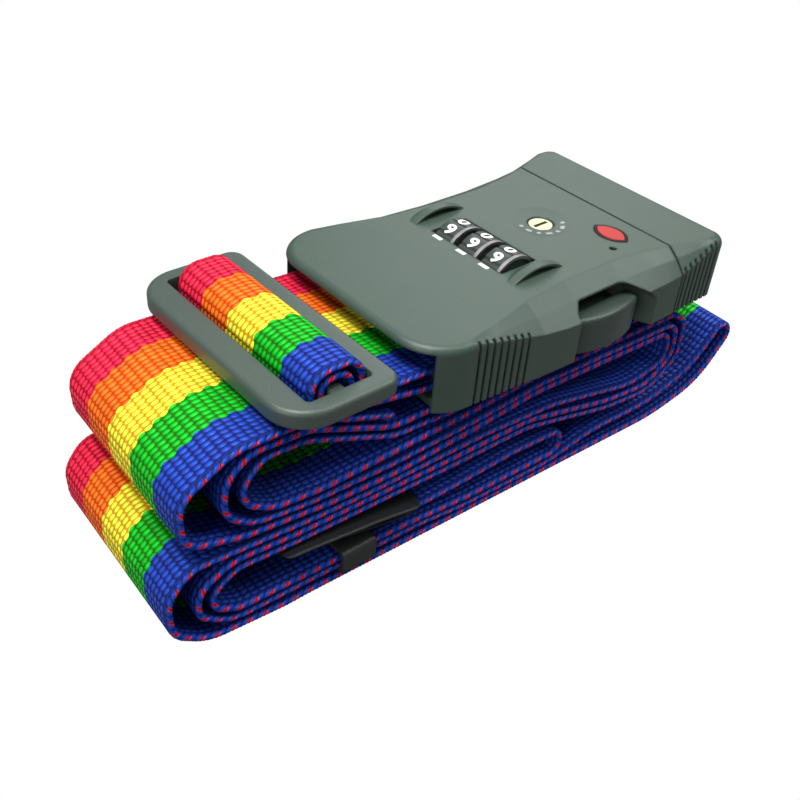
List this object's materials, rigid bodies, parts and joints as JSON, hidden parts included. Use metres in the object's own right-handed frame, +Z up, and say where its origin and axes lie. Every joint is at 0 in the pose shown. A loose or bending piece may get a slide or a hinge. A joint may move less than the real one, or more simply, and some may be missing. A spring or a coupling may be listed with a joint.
{
  "type": "luggage strap",
  "caption": "Folded rainbow-striped luggage strap with a number-wheel lock buckle, side release buttons, a sliding adjuster, a keeper loop and a tag sleeve.",
  "frame": {"origin": "on the floor, under the middle of the folded strap's footprint", "axes": "+X along the buckle from its webbing mouth to its plug, +Z up off the floor, -Y the side with the near release button"},
  "size_m": [0.1828, 0.0658, 0.0622],
  "materials": {
    "rainbow_webbing": "woven, five lengthwise stripes",
    "buckle_plastic": "fine matt grain",
    "black_plastic": "satin",
    "bright_trim": "polished",
    "steel": "satin",
    "key_brass": "satin",
    "red_lens": "gloss",
    "black_vinyl": "soft vinyl",
    "keeper_elastic": "woven elastic"
  },
  "bodies": {
    "strap": {"webbing_buckle_loop": "rainbow_webbing", "webbing_coil_a": "rainbow_webbing", "webbing_coil_b": "rainbow_webbing", "webbing_coil_c": "rainbow_webbing", "webbing_coil_d": "rainbow_webbing", "webbing_coil_e": "rainbow_webbing", "webbing_coil_g": "rainbow_webbing", "webbing_floor_span": "rainbow_webbing", "webbing_fold_a": "rainbow_webbing", "webbing_fold_b": "rainbow_webbing", "webbing_fold_c": "rainbow_webbing", "webbing_fold_d": "rainbow_webbing", "webbing_fold_tail": "rainbow_webbing", "webbing_free_tail": "rainbow_webbing", "webbing_root_loop": "rainbow_webbing", "webbing_slider_arch": "rainbow_webbing", "webbing_span_a": "rainbow_webbing", "webbing_span_b": "rainbow_webbing", "webbing_span_c": "rainbow_webbing", "webbing_span_d": "rainbow_webbing", "webbing_span_e": "rainbow_webbing", "webbing_span_f": "rainbow_webbing", "webbing_span_g": "rainbow_webbing", "webbing_span_h": "rainbow_webbing", "webbing_span_k": "rainbow_webbing", "female_housing": "buckle_plastic", "bottom_cover": "buckle_plastic", "buckle_web_pin": "steel", "wheel_spindle": "steel", "detent_spring": "steel", "indicator_frame": "black_plastic", "indicator_inlay": "red_lens", "slider_frame": "buckle_plastic", "tag_sleeve_upper": "black_vinyl", "tag_sleeve_lower": "black_vinyl", "cover_screw_1": "steel", "cover_screw_2": "steel", "cover_screw_3": "steel", "cover_screw_4": "steel"},
    "wheel_far": {"number_wheel_1": "black_plastic", "wheel_ring_1": "bright_trim", "wheel_sleeve_1": "black_plastic"},
    "wheel_middle": {"number_wheel_2": "black_plastic", "wheel_ring_2": "bright_trim", "wheel_sleeve_2": "black_plastic"},
    "wheel_near": {"number_wheel_3": "black_plastic", "wheel_ring_3": "bright_trim", "wheel_sleeve_3": "black_plastic"},
    "key_core": {"key_plug": "key_brass", "key_cam": "key_brass"},
    "button_near": {"release_button_near": "buckle_plastic"},
    "button_far": {"release_button_far": "buckle_plastic"},
    "reset": {"reset_pin": "steel"},
    "plug": {"plug_cap": "buckle_plastic", "plug_tongue": "buckle_plastic", "plug_web_bar": "steel", "webbing_plug_loop": "rainbow_webbing"},
    "keeper": {"keeper_loop": "keeper_elastic"}
  },
  "joints": [
    {"name": "wheel_far_turn", "type": "hinge", "parent": "strap", "child": "wheel_far", "pos_m": [0.01351, 0.00825, 0.0522], "axis": [0, 1, 0], "continuous": true},
    {"name": "wheel_middle_turn", "type": "hinge", "parent": "strap", "child": "wheel_middle", "pos_m": [0.01351, 0, 0.0522], "axis": [0, 1, 0], "continuous": true},
    {"name": "wheel_near_turn", "type": "hinge", "parent": "strap", "child": "wheel_near", "pos_m": [0.01351, -0.00825, 0.0522], "axis": [0, 1, 0], "continuous": true},
    {"name": "key_turn", "type": "hinge", "parent": "strap", "child": "key_core", "pos_m": [0.03481, 0.0006, 0.0522], "axis": [0, 0, 1], "range_deg": [0, 90]},
    {"name": "button_near_press", "type": "slide", "parent": "strap", "child": "button_near", "axis": [0, 1, 0], "range_m": [0, 0.0022], "stiffness_N_per_m": 900, "springref_m": -0.0006},
    {"name": "button_far_press", "type": "slide", "parent": "strap", "child": "button_far", "axis": [0, -1, 0], "range_m": [0, 0.0022], "stiffness_N_per_m": 900, "springref_m": -0.0006},
    {"name": "reset_press", "type": "slide", "parent": "strap", "child": "reset", "axis": [0, 0, -1], "range_m": [0, 0.001], "stiffness_N_per_m": 300, "springref_m": -0.0004},
    {"name": "plug_withdraw", "type": "slide", "parent": "strap", "child": "plug", "axis": [1, 0, 0], "range_m": [0, 0.012]},
    {"name": "keeper_slide", "type": "slide", "parent": "strap", "child": "keeper", "axis": [1, 0, 0], "range_m": [-0.004, 0.008]}
  ]
}
